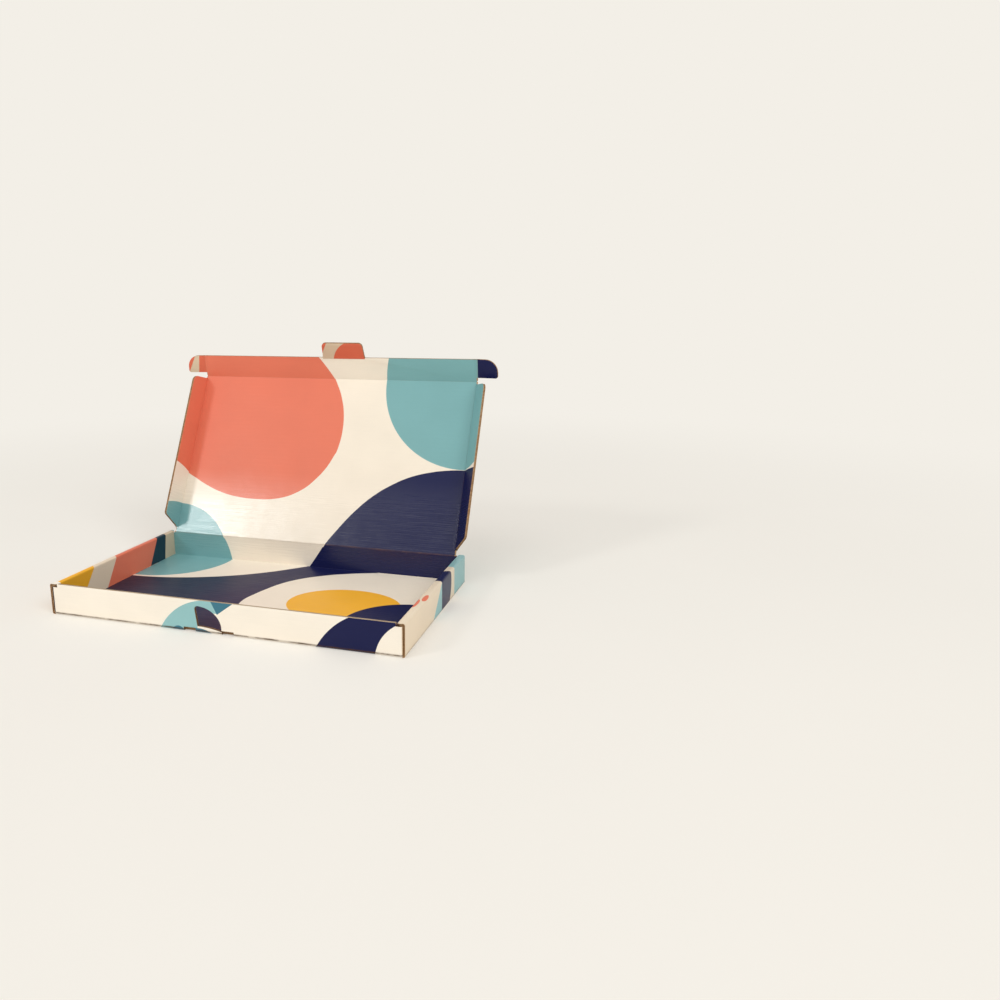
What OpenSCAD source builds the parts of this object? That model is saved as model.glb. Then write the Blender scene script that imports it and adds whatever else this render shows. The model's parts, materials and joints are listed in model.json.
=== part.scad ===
// Corrugated mailer box with a roll-over side wall on each side, standing open.
// Millimetres, +Z up, +X to the right, the front wall faces -Y.
// The origin is the centre of the tray's underside.

/* [Box] */
// Outside width of the tray
box_w = 350; // [260:1:420]
// Outside depth of the tray
box_d = 200; // [150:1:280]
// Outside height of the tray
box_h = 30; // [28:0.5:60]
// Thickness of the corrugated board
board = 2.5; // [1.5:0.1:3]
// Outside radius of the folded corners
fold_r = 1.8; // [0.8:0.1:2.2]

/* [Clearances] */
// Gap between the lid's sides and the inner side walls when shut
lid_side_gap = 1.5; // [0.6:0.1:3]
// Gap between the lid's front panel and the front wall when shut
lid_front_gap = 3; // [2.6:0.1:6]
// Gap between a crease and the flap that turns on it
crease_gap = 0.3; // [0.2:0.05:0.6]
// Gap round each lock tab in its slot in the floor
slot_gap = 0.4; // [0.2:0.1:1]
// Gap round each roll-over's end, in the notch at the end of the front or back wall
notch_gap = 0.6; // [0.3:0.1:1.5]
// Gap left under the shut lid's flaps
floor_gap = 1.25; // [1:0.05:4]

/* [Side walls] */
// Length of the dust flaps folded inside the side walls
dust_len = 62; // [30:1:72]
// Gap over the dust flaps, under the side wall's rolled top
dust_gap = 1; // [0.5:0.1:3]
// Length of each lock tab that holds a side wall down
lock_len = 24; // [12:1:40]
// Distance of the lock tabs from the middle of the wall
lock_off = 52; // [30:1:60]

/* [Lid flaps] */
// How far a side flap's rear end stands off the hinge
flap_rear = 4; // [3:0.5:10]
// Length of the side flap's slanted rear end
flap_rear_slant = 10; // [8:0.5:30]
// How far a side flap's front end stands off the lid's front crease
flap_front = 3.5; // [2.5:0.5:10]
// Length of the side flap's slanted front end
flap_front_slant = 6; // [3:0.5:30]
// Radius of the side flaps' front corners
flap_r = 8; // [1:0.5:9]
// Radius of the side flaps' rear corners
flap_rear_r = 4; // [1:0.5:7]

/* [Ears] */
// Length of each ear, out from the front panel
ear_len = 23.5; // [14:0.5:26]
// Distance between an ear and the lid's front crease
ear_off = 5; // [3:0.5:7]
// Radius of an ear's large round corner
ear_r = 14; // [6:0.5:15]
// Radius of an ear's small corner
ear_small_r = 2.5; // [1:0.5:3]

/* [Lock] */
// Width of the lock tab on the front panel
tab_w = 50; // [30:1:80]
// Distance of the lock tab from the middle of the front panel
tab_shift = 12; // [0:0.5:30]
// Length of the lock tab
tab_len = 19; // [8:0.5:21]
// Corner radius of the lock tab
tab_r = 4.5; // [1:0.5:6]
// How much each side of the lock tab tapers
tab_taper = 1; // [0:0.5:4]
// Distance of the slots and the thumb hole from the middle of the front wall, to the left
lock_shift = 8; // [0:0.5:20]
// Width of each slot in the foot of the front wall
slot_w = 12; // [6:0.5:16]
// Height of each slot in the foot of the front wall
slot_h = 3.8; // [3:0.1:5]
// Radius of the quarter-round thumb hole above the slots
thumb_r = 19; // [10:0.5:21]
// Width of the slanted corner at the top left of the thumb hole
thumb_flat = 1.5; // [0.5:0.1:3]
// Height of the same corner
thumb_chamfer = 2; // [0.5:0.1:4]
// Height of the curved lip under the thumb hole
lip_h = 5.6; // [4:0.1:7]
// How far the lip drops towards its right end
lip_drop = 3; // [1:0.1:3.5]

/* [Pose] */
// Angle of the lid, from shut
lid_open = 118; // [90:1:150]
// Fold of the front panel, from the plane of the lid
front_fold = 36; // [0:1:80]
// Fold of the left side flap, from the plane of the lid
left_fold = 82; // [20:1:85]
// Fold of the right side flap, from the plane of the lid
right_fold = 56; // [20:1:85]
// Fold that the side flaps and ears reach with the lid shut
shut_fold = 126; // [95:1:130]
// Fold of the ears, from the plane of the front panel
ear_fold = 4; // [0:1:60]
// Fold of the lock tab, from the plane of the front panel
tab_fold = 14; // [0:1:60]

/* [Hidden] */
// Sides of a circle on an exact curve
$fn = 48;
// Steps along each rounded corner of an outline
corner_steps = 8;
// A side wall is two boards with a dust flap between them
wall_t = 3 * board;
// Steps along the round edge of the thumb hole
thumb_steps = 2 * corner_steps;
// Width of the notch for a roll-over's end
notch_w = wall_t + 2 * notch_gap;
// Small overrun of a cut past the face that it goes through
over = 1;
half_w = box_w / 2;
half_d = box_d / 2;
crease_r = board / 2;
// Distance from a crease's axis to the edge of the flap that turns on it
flap_start = crease_r + crease_gap;
// The same distance on the inner face of a flap that folds past square
mitre_start = crease_r * tan(shut_fold / 2) + crease_gap;
// The lid's hinge crease
hinge_y = half_d - crease_r;
hinge_z = box_h - crease_r;
// Half the lid's width and its length, crease to crease
lid_half = half_w - wall_t - lid_side_gap - crease_r;
lid_len = box_d - board - lid_front_gap - 2 * crease_r;
// Depth of the front panel and of the side flaps below the lid's middle plane
flap_depth = hinge_z - board - floor_gap;
// Distance of the lock tab's crease from the lid's front crease
tab_crease = flap_depth - crease_r;
lid_tilt = 180 - lid_open;
print_red = [0.87, 0.42, 0.33];
print_cream = [0.95, 0.90, 0.80];
print_navy = [0.17, 0.18, 0.30];
print_teal = [0.46, 0.66, 0.67];

// Unit vector from p towards q
function toward(p, q) = (q - p) / norm(q - p);

// Arc that rounds the corner at c, between its neighbours a and b
function corner_arc(a, c, b, r) =
    let (u = toward(c, a), v = toward(c, b))
    let (half = acos(u * v) / 2, run = r / tan(half))
    let (centre = c + toward([0, 0], u + v) * r / sin(half))
    let (first = c + u * run - centre, last = c + v * run - centre)
    let (a0 = atan2(first[1], first[0]), a1 = atan2(last[1], last[0]))
    let (turn = (a1 - a0 + 540) % 360 - 180)
    [for (i = [0 : corner_steps]) centre + r * [cos(a0 + turn * i / corner_steps), sin(a0 + turn * i / corner_steps)]];

// Outline through [x, y, radius] corners, each rounded by its radius
function rounded(corners) =
    let (n = len(corners))
    [for (i = [0 : n - 1])
        let (a = corners[(i + n - 1) % n], c = corners[i], b = corners[(i + 1) % n])
        each (c[2] > 0 ? corner_arc([a[0], a[1]], [c[0], c[1]], [b[0], b[1]], c[2]) : [[c[0], c[1]]])];

// Board of the given outline, centred on its own plane
module board_plate(outline) {
    translate([0, 0, -crease_r])
        linear_extrude(board)
            polygon(outline);
}

// Crease along X, centred on its own axis
module crease_x(length) {
    rotate([0, 90, 0])
        cylinder(d = board, h = length, center = true);
}

// Crease along Y, starting at the axis' origin
module crease_y(length) {
    rotate([-90, 0, 0])
        cylinder(d = board, h = length);
}

// Frame of the lid: X right, Y away from the hinge, Z out of its inner face
module lid_frame() {
    translate([0, hinge_y, hinge_z])
        rotate([lid_tilt, 0, 0])
            children();
}

// Frame of the front panel: Y away from the lid's front crease
module front_frame() {
    lid_frame()
        translate([0, lid_len, 0])
            rotate([front_fold, 0, 0])
                children();
}

// Square with the named corners rounded, from the origin to [w, h]
module soft_rect(w, h, low_left, top_left, top_right) {
    polygon(rounded([
        [0, 0, low_left],
        [0, h, top_left],
        [w, h, top_right],
        [w, 0, 0],
    ]));
}

// Outer wall and rolled top of the left side wall, seen along the depth
module roll_section() {
    difference() {
        soft_rect(wall_t, box_h, fold_r, fold_r, fold_r);
        translate([board, -over])
            square([wall_t, box_h - board + over]);
    }
}

// Side wall on the left, with the dust flaps between its two boards
module side_wall() {
    translate([-half_w, half_d, 0])
        rotate([90, 0, 0])
            linear_extrude(box_d)
                roll_section();
    translate([-half_w + 2 * board, -half_d + board, 0])
        cube([board, box_d - 2 * board, box_h - fold_r]);
    for (end = [-1, 1])
        translate([-half_w + board, end < 0 ? -half_d + board : half_d - board - dust_len, board])
            cube([board, dust_len, box_h - 2 * board - dust_gap]);
}

// Slots in the floor beside the lock tabs of the left side wall
module lock_slots() {
    for (place = [-lock_off, lock_off])
        difference() {
            translate([-half_w + 2 * board - slot_gap, place - lock_len / 2 - slot_gap, -over])
                cube([board + 2 * slot_gap, lock_len + 2 * slot_gap, board + over]);
            translate([-half_w + 2 * board, place - lock_len / 2, -2 * over])
                cube([board, lock_len, board + 4 * over]);
        }
}

// Front or back wall between the side walls, with rounded folds at its foot and ends
module end_wall(height) {
    difference() {
        intersection() {
            translate([-half_w + board, -half_d, 0])
                linear_extrude(height)
                    polygon(rounded([
                        [0, 0, fold_r],
                        [0, board, 0],
                        [box_w - 2 * board, board, 0],
                        [box_w - 2 * board, 0, fold_r],
                    ]));
            translate([-half_w, -half_d, 0])
                rotate([90, 0, 90])
                    linear_extrude(box_w)
                        soft_rect(board, height, fold_r, 0, 0);
        }
        for (side = [-1, 1])
            translate([side * (half_w - wall_t / 2) - notch_w / 2, -half_d - over, box_h - board - notch_gap])
                cube([notch_w, board + 2 * over, board + notch_gap + over]);
    }
}

// Slots, thumb hole and lip of the lock in the foot of the front wall
module lock_cuts() {
    lip_w = tab_w - 2 * slot_w;
    for (side = [-1, 1])
        translate([side * (lip_w + slot_w) / 2 - slot_w / 2 - lock_shift, -half_d - over, -over])
            cube([slot_w, board + over, slot_h + over]);
    translate([-lip_w / 2 - lock_shift, -half_d + board + over, 0])
        rotate([90, 0, 0])
            linear_extrude(board + 2 * over)
                thumb_outline(lip_w);
}

// Quarter-round thumb hole over a lip that curves down to the right
module thumb_outline(w) {
    polygon(concat(
        [for (i = [0 : corner_steps]) [w * i / corner_steps, lip_h - lip_drop * pow(i / corner_steps, 2)]],
        [for (i = [0 : thumb_steps])
            let (a = 90 * i / thumb_steps)
            [thumb_flat + (w - thumb_flat) * cos(a), lip_h + thumb_r * sin(a)]],
        [[0, lip_h + thumb_r - thumb_chamfer]]
    ));
}

// The tray: floor, front wall, back wall and both roll-over side walls, one folded sheet
module tray() {
    color(print_cream)
        difference() {
            union() {
                translate([-half_w + board, -half_d + board, 0])
                    cube([box_w - 2 * board, box_d - 2 * board, board]);
                end_wall(box_h);
                mirror([0, 1, 0])
                    end_wall(hinge_z);
                translate([0, hinge_y, hinge_z])
                    crease_x(2 * (half_w - wall_t - lid_side_gap));
                side_wall();
                mirror([1, 0, 0])
                    side_wall();
            }
            lock_cuts();
            lock_slots();
            mirror([1, 0, 0])
                lock_slots();
        }
}

// The lid's main panel, with the creases that its flaps turn on
module lid_panel() {
    color(print_red)
        lid_frame() {
            board_plate([
                [-lid_half, flap_start],
                [lid_half, flap_start],
                [lid_half, lid_len],
                [-lid_half, lid_len],
            ]);
            translate([0, lid_len, 0])
                crease_x(2 * lid_half);
            for (side = [-1, 1])
                translate([side * lid_half, flap_start, 0])
                    crease_y(lid_len - flap_start);
        }
}

// The lid's front panel, with the creases of the ears and the lock tab
module front_panel() {
    color(print_teal)
        front_frame() {
            board_plate([
                [-lid_half, flap_start],
                [lid_half, flap_start],
                [lid_half, flap_depth],
                [tab_shift + tab_w / 2, flap_depth],
                [tab_shift + tab_w / 2, tab_crease],
                [tab_shift - tab_w / 2, tab_crease],
                [tab_shift - tab_w / 2, flap_depth],
                [-lid_half, flap_depth],
            ]);
            translate([tab_shift, tab_crease, 0])
                crease_x(tab_w);
            for (side = [-1, 1])
                translate([side * lid_half, flap_start, 0])
                    crease_y(flap_depth - flap_start);
        }
}

// Board of the given outline to the right of its crease, with its root mitred to fold past square
module mitred_flap(outline, length) {
    intersection() {
        board_plate(outline);
        rotate([-90, 0, 0])
            linear_extrude(length)
                polygon([
                    [flap_start, crease_r + over],
                    [flap_start, crease_r],
                    [mitre_start, -crease_r],
                    [mitre_start, -crease_r - over],
                    [length, -crease_r - over],
                    [length, crease_r + over],
                ]);
    }
}

// Side flap of the lid, drawn to the right of its crease
module side_flap() {
    rear = flap_start + flap_rear;
    front = lid_len - flap_front;
    mitred_flap(rounded([
        [flap_start, rear, 0],
        [flap_depth, rear + flap_rear_slant, flap_rear_r],
        [flap_depth, front - flap_front_slant, flap_r],
        [flap_start, front, 0],
    ]), lid_len);
}

// Left side flap of the lid
module left_flap() {
    color(print_red)
        lid_frame()
            translate([-lid_half, 0, 0])
                rotate([0, left_fold, 0])
                    mirror([1, 0, 0])
                        side_flap();
}

// Right side flap of the lid
module right_flap() {
    color(print_teal)
        lid_frame()
            translate([lid_half, 0, 0])
                rotate([0, -right_fold, 0])
                    side_flap();
}

// Ear of the front panel, drawn to the right of its crease
module ear() {
    mitred_flap(rounded([
        [flap_start, ear_off, 0],
        [ear_len, ear_off, ear_small_r],
        [ear_len, flap_depth, ear_r],
        [flap_start, flap_depth, 0],
    ]), lid_len);
}

// Left ear
module left_ear() {
    color(print_red)
        front_frame()
            translate([-lid_half, 0, 0])
                rotate([0, ear_fold, 0])
                    mirror([1, 0, 0])
                        ear();
}

// Right ear
module right_ear() {
    color(print_navy)
        front_frame()
            translate([lid_half, 0, 0])
                rotate([0, -ear_fold, 0])
                    ear();
}

// Lock tab on the free edge of the front panel
module lock_tab() {
    color(print_red)
        front_frame()
            translate([tab_shift, tab_crease, 0])
                rotate([tab_fold, 0, 0])
                    board_plate(rounded([
                        [-tab_w / 2, flap_start, 0],
                        [-tab_w / 2 + tab_taper, tab_len, tab_r],
                        [tab_w / 2 - tab_taper, tab_len, tab_r],
                        [tab_w / 2, flap_start, 0],
                    ]));
}

tray();
lid_panel();
front_panel();
left_flap();
right_flap();
left_ear();
right_ear();
lock_tab();
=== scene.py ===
"""Looks of the corrugated mailer box.

Folded board with fluted cut edges, print laid out on the unfolded sheet, floor, light and camera.
"""

import json
import math

import bmesh
import bpy
import numpy as np
from mathutils import Euler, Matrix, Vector


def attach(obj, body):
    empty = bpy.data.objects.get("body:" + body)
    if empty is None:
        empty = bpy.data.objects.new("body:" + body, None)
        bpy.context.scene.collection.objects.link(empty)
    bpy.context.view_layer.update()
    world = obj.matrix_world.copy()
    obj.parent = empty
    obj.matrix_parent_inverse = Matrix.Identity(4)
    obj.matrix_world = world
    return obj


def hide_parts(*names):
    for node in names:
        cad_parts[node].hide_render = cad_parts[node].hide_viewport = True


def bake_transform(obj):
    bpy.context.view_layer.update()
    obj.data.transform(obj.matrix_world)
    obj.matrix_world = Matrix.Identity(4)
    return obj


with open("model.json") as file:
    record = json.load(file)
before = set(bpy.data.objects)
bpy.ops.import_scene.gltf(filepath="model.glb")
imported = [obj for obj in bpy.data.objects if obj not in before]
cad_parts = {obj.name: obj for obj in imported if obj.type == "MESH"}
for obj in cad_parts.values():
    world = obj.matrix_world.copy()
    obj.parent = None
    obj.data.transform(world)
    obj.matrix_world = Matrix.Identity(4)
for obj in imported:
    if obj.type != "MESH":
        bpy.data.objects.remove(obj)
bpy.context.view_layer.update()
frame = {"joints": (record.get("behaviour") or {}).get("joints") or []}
joints = {j["name"]: j for j in frame["joints"]}

# Sizes in millimetres; the creases' places come from the frame's joints
MM = 0.001
# the board, half of it, its liners, the depth of its open flutes and the rounding of its cut edges
BOARD = 2.5
H = BOARD / 2
LINER = 0.38
GROOVE = 1.7
SOFT = 0.18
# its flutes: pitch, half height, thickness of the paper and how far they lie back at a cut edge
PITCH = 5.0
WAVE = H - LINER - 0.12
MEDIUM = 0.26
FLUTE_BACK = 0.35
# grooves of the front panel and tab, and of flaps, ears and lock tabs, are shallower than GROOVE
FRONT_GROOVE, SIDE_GROOVE = 0.7, 0.8
# the tray: folds, rolled walls, flaps inside them and lock tabs under them
HALF_W, HALF_D, BOX_H = 175.0, 100.0, 30.0
FOLD_R = 1.8
WALL = 3 * BOARD
DUST_LEN, DUST_H = 62.0, 24.0
LOCK_OFF, LOCK_HALF = 52.0, 12.0
# its openings: front slots and thumb hole, corner notches, floor slots
LOCK_X, LIP_H = -8.0, 5.6
SLOT_OFF, SLOT_HALF, SLOT_TOP = 19.0, 6.0, 3.8
NOTCH_HALF, NOTCH_FOOT = 4.35, 26.9
FLOOR_SLOT = (1.65, 12.4)
# the lid and what hangs on it; a panel starts a little beyond its crease and a flap's foot is mitred
LID_LEN, PANEL_LEN, TAB_CREASE = 192.0, 25.0, 23.75
START = H + 0.3
MITRE = H * math.tan(math.radians(63)) + 0.3 - START
FLAP_REAR, FLAP_FRONT = START + 4, LID_LEN - 3.5
EAR_LEN, EAR_OFF = 23.5, 5.0
TAB_X, TAB_W, TAB_LEN = 12.0, 50.0, 19.0
HINGE_HALF = 165.9
# the creases and the tab on the unfolded sheet; the lid's crease on the back wall is at 0
BACK_V, FLOOR_V, FRONT_V = -30.0, -130.0, -230.0
TAB_V = LID_LEN + TAB_CREASE
TAB_LEFT, TAB_RIGHT = HALF_W + TAB_X - TAB_W / 2, HALF_W + TAB_X + TAB_W / 2
# kinds of faces, in the order of MATERIALS, and of an outline's edges
INSIDE, OUTSIDE, RAW, CUT = range(4)
FOLD, EDGE = "fold", "edge"

X = np.array([1.0, 0.0, 0.0])


def vec(*values):
    return np.array(values[0] if len(values) == 1 else values, float)


def unit(v):
    return v / np.linalg.norm(v)


# Creases: a point on each axis and the directions of the panels on it, at rest
HINGE = vec(joints["lid_hinge"]["pos_m"]) / MM
LID_HALF = joints["right_flap_crease"]["pos_m"][0] / MM
LID_U = unit(vec(joints["left_flap_crease"]["axis"]))
LID_N = np.cross(X, LID_U)
FRONT_P = vec(joints["front_panel_crease"]["pos_m"]) / MM
FRONT_D = unit(vec(joints["left_ear_crease"]["axis"]))
FRONT_N = np.cross(X, FRONT_D)
TAB_P = vec(joints["lock_tab_crease"]["pos_m"]) / MM
LEFT_FOLD, RIGHT_FOLD, EAR_FOLD, TAB_FOLD = (math.radians(a) for a in (82, 56, 4, 14))
TAB_D = math.cos(TAB_FOLD) * FRONT_D + math.sin(TAB_FOLD) * FRONT_N
TAB_N = math.cos(TAB_FOLD) * FRONT_N - math.sin(TAB_FOLD) * FRONT_D


def side_frame(side, fold, normal):
    """Direction away from a side crease and inner normal of the flap on it."""
    out = side * math.cos(fold) * X + math.sin(fold) * normal
    return out, math.cos(fold) * normal - side * math.sin(fold) * X


# Materials -----------------------------------------------------------------


def srgb(r, g, b):
    """Linear colour of an 8-bit sRGB one."""
    out = []
    for c in (r, g, b):
        c /= 255
        out.append(c / 12.92 if c <= 0.04045 else ((c + 0.055) / 1.055) ** 2.4)
    return (*out, 1.0)


CORAL = srgb(233, 124, 96)
# painted shade: a darker copy of the coral, for the left ear and the tab
CORAL_SHADED = srgb(222, 108, 80)
CREAM = srgb(247, 236, 218)
CREAM_OUT = srgb(253, 244, 229)
# tan of a band on the left side wall; on the left ear and the tab it stands for the cream in painted shade
TAN_AND_SHADED_CREAM = srgb(220, 198, 170)
# oat of a band on the left side wall; on the right side wall it stands for the cream in painted shade
OAT_AND_SHADED_CREAM = srgb(238, 221, 196)
TEAL = srgb(124, 175, 177)
# painted light: a lighter copy of the teal, for the front and right side walls
TEAL_LIT = srgb(150, 197, 199)
TEAL_DEEP = srgb(62, 120, 140)
TEAL_DARK = srgb(20, 50, 68)
NAVY = srgb(12, 19, 70)
SLATE = srgb(33, 43, 66)
YELLOW = srgb(250, 184, 48)
KRAFT = srgb(204, 168, 128)
KRAFT_DARK = srgb(146, 108, 72)
# painted shade: the hollows of the drawn flutes, the cuts' darker right side and the walls' feet
SHADE_BROWN = srgb(78, 52, 32)
PALE_KRAFT = srgb(206, 186, 158)


class Graph:
    """Short hand for a material's nodes."""

    def __init__(self, name):
        self.material = bpy.data.materials.new(name)
        self.material.use_nodes = True
        self.tree = self.material.node_tree
        self.shader = next(n for n in self.tree.nodes if n.type == "BSDF_PRINCIPLED")

    def node(self, kind, settings=None, inputs=()):
        n = self.tree.nodes.new(kind)
        for key, value in (settings or {}).items():
            setattr(n, key, value)
        for key, value in dict(inputs).items():
            self.put(n.inputs[key], value)
        return n

    def put(self, socket, value):
        if isinstance(value, bpy.types.NodeSocket):
            self.tree.links.new(value, socket)
        else:
            socket.default_value = value

    def math(self, op, a, b=0.0, c=0.0, clamp=False):
        settings = {"operation": op, "use_clamp": clamp}
        return self.node("ShaderNodeMath", settings, {0: a, 1: b, 2: c}).outputs[0]

    def mix(self, factor, a, b):
        return self.node("ShaderNodeMix", {"data_type": "RGBA"}, {0: factor, 6: a, 7: b}).outputs[2]

    def noise(self, vector, scale, detail=2.0, rough=0.5):
        inputs = {"Vector": vector, "Scale": scale, "Detail": detail, "Roughness": rough}
        return self.node("ShaderNodeTexNoise", None, inputs).outputs["Fac"]

    def ramp(self, value, low, high, to_low=0.0, to_high=1.0):
        inputs = {"Value": value, "From Min": low, "From Max": high, "To Min": to_low, "To Max": to_high}
        return self.node("ShaderNodeMapRange", None, inputs).outputs[0]

    def stretch(self, vector, scale):
        return self.node("ShaderNodeMapping", None, {"Vector": vector, "Scale": scale}).outputs[0]

    def bump(self, height):
        inputs = {"Height": height, "Strength": 1.0, "Distance": MM}
        return self.node("ShaderNodeBump", None, inputs).outputs[0]


class Print:
    """Inks of a flat print on the unfolded sheet, in millimetres."""

    SHARP = 4.0

    def __init__(self, g, x, v, colour):
        self.g, self.x, self.v, self.colour = g, x, v, colour

    def disc(self, cx, cv, r, squash=1.0):
        g = self.g
        dx, dv = g.math("SUBTRACT", self.x, cx), g.math("MULTIPLY_ADD", self.v, 1 / squash, -cv / squash)
        d = g.math("SQRT", g.math("MULTIPLY_ADD", dx, dx, g.math("MULTIPLY", dv, dv)))
        return g.math("MULTIPLY_ADD", g.math("SUBTRACT", r, d), self.SHARP, 0.5, clamp=True)

    def left_of(self, ax, av, bx, bv, soft=None):
        """The side to the left of the line from a to b."""
        g, n = self.g, math.hypot(bx - ax, bv - av)
        nx, nv = -(bv - av) / n, (bx - ax) / n
        d = g.math("MULTIPLY_ADD", self.v, nv, -(ax * nx + av * nv))
        d = g.math("MULTIPLY_ADD", self.x, nx, d)
        return g.math("MULTIPLY_ADD", d, 1 / soft if soft else self.SHARP, 0.5, clamp=True)

    def within(self, left, right, low, high):
        """Inside an upright rectangle."""
        g = self.g
        sides = [(self.x, left, 1), (self.x, right, -1), (self.v, low, 1), (self.v, high, -1)]
        masks = []
        for c, limit, way in sides:
            steep = self.SHARP * way
            masks.append(g.math("MULTIPLY_ADD", c, steep, 0.5 - limit * steep, clamp=True))
        across, along = (g.math("MULTIPLY", masks[i], masks[i + 1]) for i in (0, 2))
        return g.math("MULTIPLY", across, along)

    def dark_line(self, across, at, start, end, strength=0.3, width=0.9):
        """A thin darker line that comes and goes: at a crease the crushed liner with painted shade in its fold,
        at a wall's foot painted shadow.
        """
        g = self.g
        a, b = (self.x, self.v) if across == "x" else (self.v, self.x)
        line = g.ramp(g.math("ABSOLUTE", g.math("SUBTRACT", a, at)), width, 0.0)
        ends = g.math("MULTIPLY", g.ramp(b, start - 0.2, start), g.ramp(b, end + 0.2, end))
        line = g.math("MULTIPLY", line, ends)
        inputs = {"W": b, "Scale": 0.06, "Detail": 3.0}
        patchy = g.node("ShaderNodeTexNoise", {"noise_dimensions": "1D"}, inputs).outputs["Fac"]
        return g.math("MULTIPLY", line, g.ramp(patchy, 0.3, 0.7, 0.35 * strength, strength))

    def under(self, points, across="x"):
        """Where the other coordinate is below a smooth curve through the points."""
        g = self.g
        a, b = (self.x, self.v) if across == "x" else (self.v, self.x)
        lo_a, hi_a = points[0][0], points[-1][0]
        lo_b, hi_b = min(p[1] for p in points), max(p[1] for p in points)
        n = g.node("ShaderNodeFloatCurve", None, {"Value": g.ramp(a, lo_a, hi_a)})
        curve = n.mapping.curves[0]
        spots = [((p - lo_a) / (hi_a - lo_a), (q - lo_b) / (hi_b - lo_b)) for p, q in points]
        curve.points[0].location, curve.points[1].location = spots[0], spots[-1]
        for spot in spots[1:-1]:
            curve.points.new(*spot)
        n.mapping.update()
        limit = g.ramp(n.outputs[0], 0.0, 1.0, lo_b, hi_b)
        return g.math("MULTIPLY_ADD", g.math("SUBTRACT", limit, b), self.SHARP, 0.5, clamp=True)

    def lay(self, colour, *masks):
        """Ink of one colour where all the masks overlap."""
        mask = masks[0]
        for m in masks[1:]:
            mask = self.g.math("MULTIPLY", mask, m)
        self.colour = self.g.mix(mask, self.colour, colour)


def printed(name, paint, paper, gloss):
    """Board liner with a flat print on it."""
    g = Graph(name)
    uv = g.node("ShaderNodeUVMap", {"uv_map": "sheet"}).outputs[0]
    sheet = g.node("ShaderNodeVectorMath", {"operation": "SCALE"}, {0: uv, "Scale": 1000.0}).outputs[0]
    xyz = g.node("ShaderNodeSeparateXYZ", None, {0: sheet})
    x, v = xyz.outputs[0], xyz.outputs[1]
    # the ink's edges wander by a tenth of a millimetre
    wander = g.math("MULTIPLY_ADD", g.noise(sheet, 0.9, 2.0), 0.24, -0.12)
    art = Print(g, g.math("ADD", x, wander), g.math("ADD", v, wander), paper)
    paint(art)
    fibre = g.noise(sheet, 1.6, 4.0, 0.65)
    broad = g.noise(sheet, 0.018, 3.0, 0.5)
    streak = g.noise(g.stretch(sheet, (0.03, 0.85, 1.0)), 1.0, 3.0, 0.6)
    shade = g.math("ADD", g.ramp(fibre, 0.3, 0.7, 0.978, 1.022), g.ramp(broad, 0.3, 0.7, -0.025, 0.025))
    shade = g.math("ADD", shade, g.ramp(streak, 0.3, 0.7, -0.01, 0.01))
    light = g.node("ShaderNodeHueSaturation", None, {"Color": art.colour, "Value": shade})
    g.put(g.shader.inputs["Base Color"], light.outputs[0])
    rough = g.ramp(streak, 0.3, 0.7, gloss - 0.05, gloss + 0.07)
    rough = g.math("ADD", rough, g.ramp(fibre, 0.3, 0.7, -0.03, 0.03))
    # the lid's foot is rubbed by the hand that folds it: smoother, with fine ribs across
    rubbed = g.ramp(g.math("ABSOLUTE", g.math("SUBTRACT", v, 18.0)), 15.0, 60.0, 1.0, 0.0)
    g.put(g.shader.inputs["Roughness"], g.math("MULTIPLY_ADD", rubbed, -0.15, rough))
    g.put(g.shader.inputs["Specular IOR Level"], g.math("MULTIPLY_ADD", rubbed, 0.33, 0.25))
    # relief: flutes telegraphing through the liner, streaks and paper tooth
    flutes = g.math("SINE", g.math("MULTIPLY", v, 2 * math.pi / PITCH))
    height = g.math("MULTIPLY", flutes, g.ramp(broad, 0.35, 0.65, 0.003, 0.012))
    bent = g.math("MULTIPLY_ADD", g.noise(g.stretch(sheet, (0.02, 0.16, 1.0)), 1.0, 2.0), 5.0, v)
    ribs = g.math("SINE", g.math("MULTIPLY", bent, 2 * math.pi / 2.1))
    height = g.math("MULTIPLY_ADD", ribs, g.math("MULTIPLY", rubbed, 0.013), height)
    height = g.math("MULTIPLY_ADD", streak, 0.014, height)
    height = g.math("MULTIPLY_ADD", fibre, 0.012, height)
    height = g.math("MULTIPLY_ADD", broad, 0.8, height)
    g.put(g.shader.inputs["Normal"], g.bump(height))
    return g.material


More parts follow.
